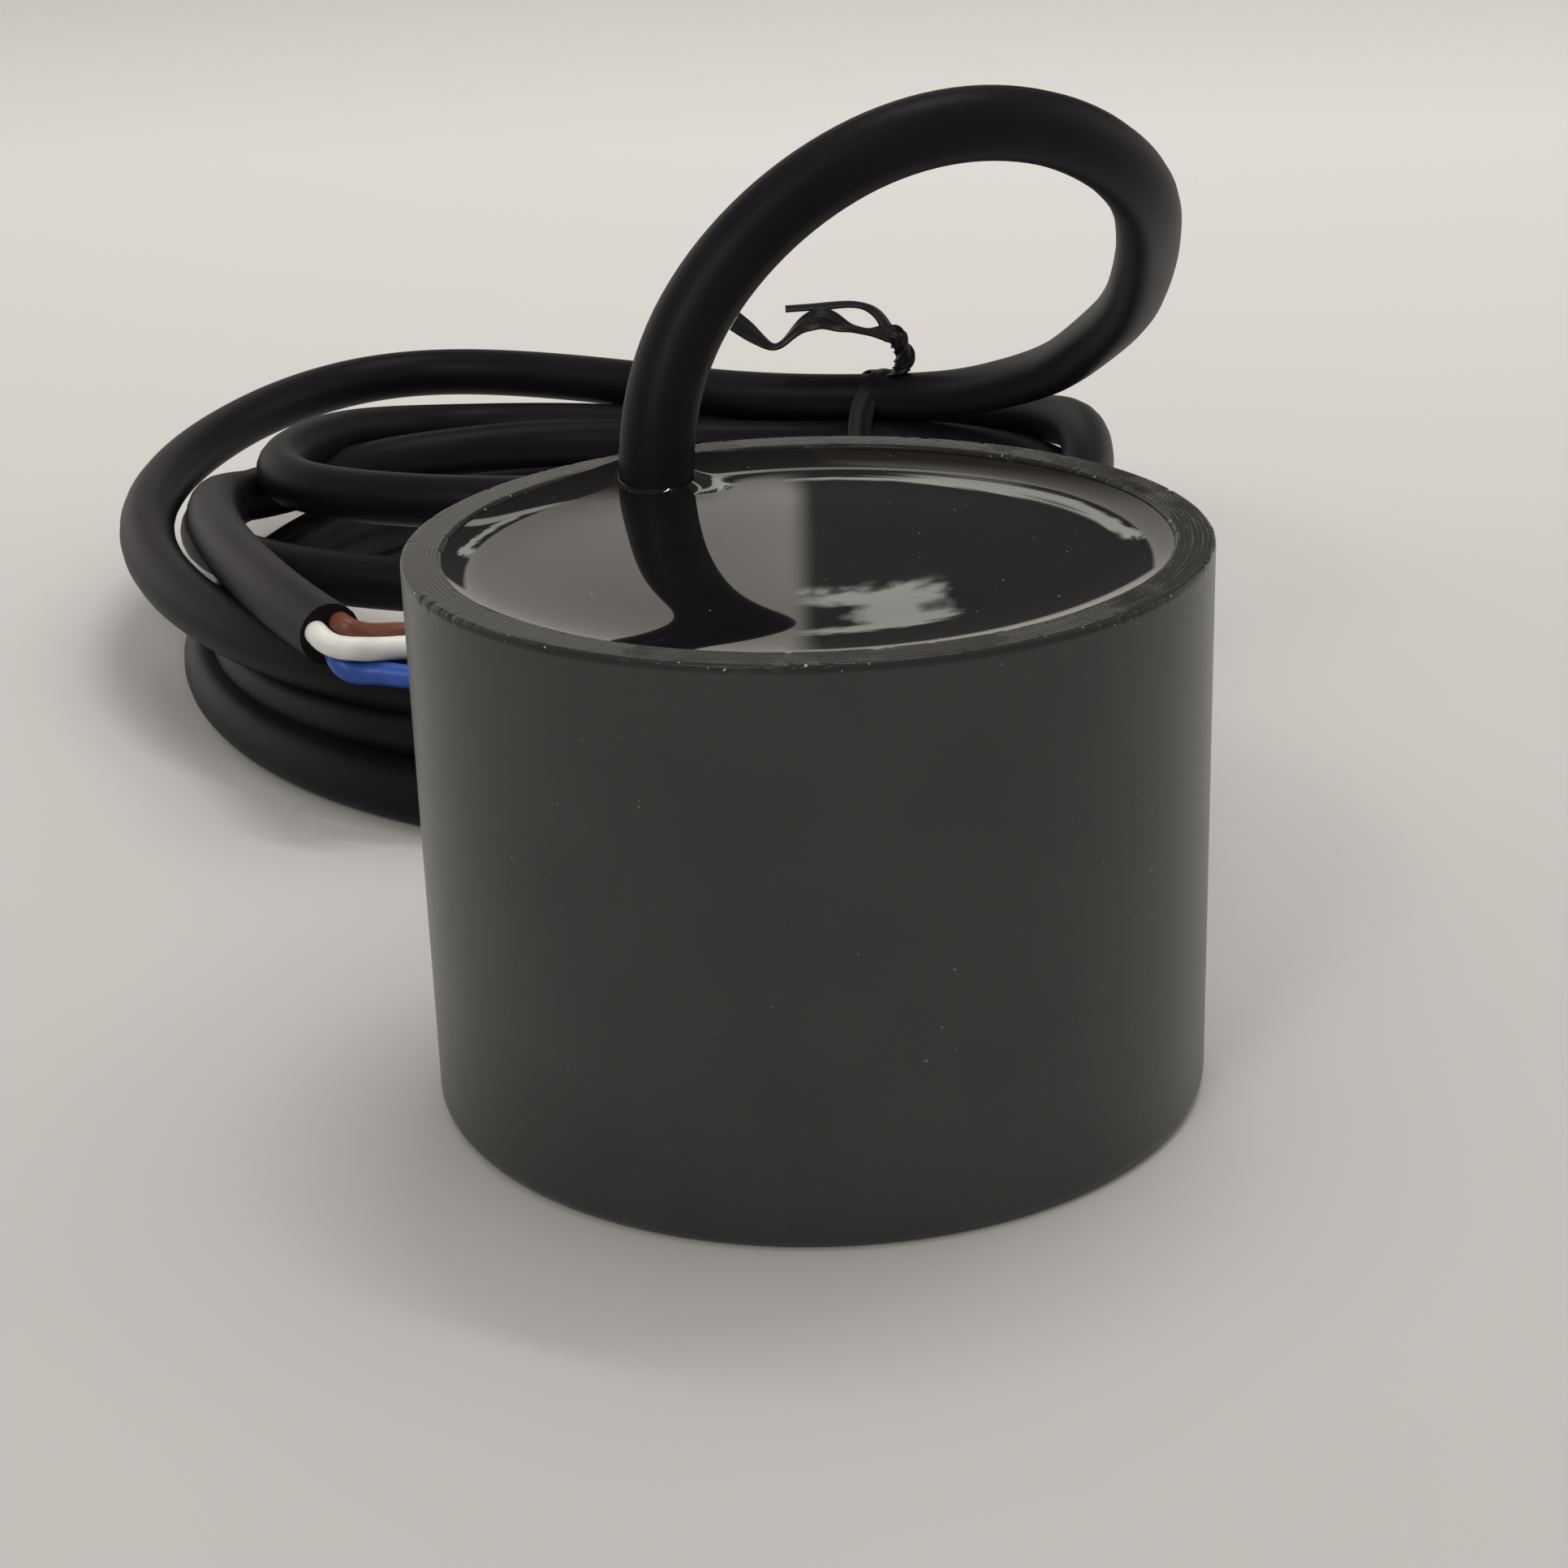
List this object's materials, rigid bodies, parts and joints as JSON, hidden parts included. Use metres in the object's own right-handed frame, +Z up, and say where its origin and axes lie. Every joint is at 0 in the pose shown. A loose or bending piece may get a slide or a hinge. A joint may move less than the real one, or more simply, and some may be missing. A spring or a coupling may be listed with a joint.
{
  "type": "single beam echosounder",
  "caption": "Potted round sounding puck with a flat acoustic window, a resin-filled back, and a thin three-wire cord coiled and tied behind it.",
  "frame": {"origin": "centre of the sounding face, on the surface that the puck stands on", "axes": "+Z up the puck's axis, away from the sounding face; +Y from the puck towards the coiled cord; +X to the right as seen from the side away from the cord"},
  "size_m": [0.1038, 0.182, 0.0592],
  "materials": {
    "housing": "satin, turned rim with fine scuffs",
    "bond_epoxy": "clear amber epoxy film",
    "piezo_ceramic": "silvered ceramic",
    "cork": "cork and rubber, matt",
    "wire_red": "satin insulation",
    "wire_black": "satin insulation",
    "solder": "bright solder",
    "spacer_plastic": "natural moulded",
    "board_laminate": "solder resist",
    "chip_epoxy": "moulded, matt",
    "ferrite": "ground ferrite",
    "enamelled_copper": "enamelled copper",
    "capacitor_can": "plain drawn can",
    "capacitor_ceramic": "sintered",
    "resistor_ceramic": "glazed top",
    "crystal_can": "plain lid",
    "wire_brown": "satin insulation",
    "wire_white": "satin insulation",
    "wire_blue": "satin insulation",
    "cord_jacket": "matt black PVC",
    "potting_resin": "self-levelled high gloss",
    "tinned_copper": "tinned strands",
    "tie_plastic": "plastic-covered wire"
  },
  "bodies": {
    "root": {"housing_cup": "housing", "window_bond": "bond_epoxy", "piezo_disc": "piezo_ceramic", "isolation_ring": "cork", "backing_pad": "cork", "piezo_lead_red": "wire_red", "piezo_lead_black": "wire_black", "piezo_solder": "solder", "board_spacer": "spacer_plastic", "circuit_board": "board_laminate", "microcontroller": "chip_epoxy", "transceiver_chip": "chip_epoxy", "voltage_regulator": "chip_epoxy", "driver_transistors": "chip_epoxy", "transformer_core": "ferrite", "transformer_bobbin": "spacer_plastic", "transformer_winding": "enamelled_copper", "power_capacitor": "capacitor_can", "ceramic_capacitors": "capacitor_ceramic", "resistors": "resistor_ceramic", "crystal": "crystal_can", "power_inductor": "ferrite", "protection_diode": "chip_epoxy", "inner_lead_brown": "wire_brown", "inner_lead_white": "wire_white", "inner_lead_blue": "wire_blue", "lead_solder": "solder", "cord_potted_end": "cord_jacket", "potting_resin": "potting_resin", "cord_arch": "cord_jacket", "cord_coil": "cord_jacket", "cord_tail": "cord_jacket", "wire_brown": "wire_brown", "wire_white": "wire_white", "wire_blue": "wire_blue", "wire_strands": "tinned_copper", "twist_tie": "tie_plastic"}
  },
  "joints": []
}
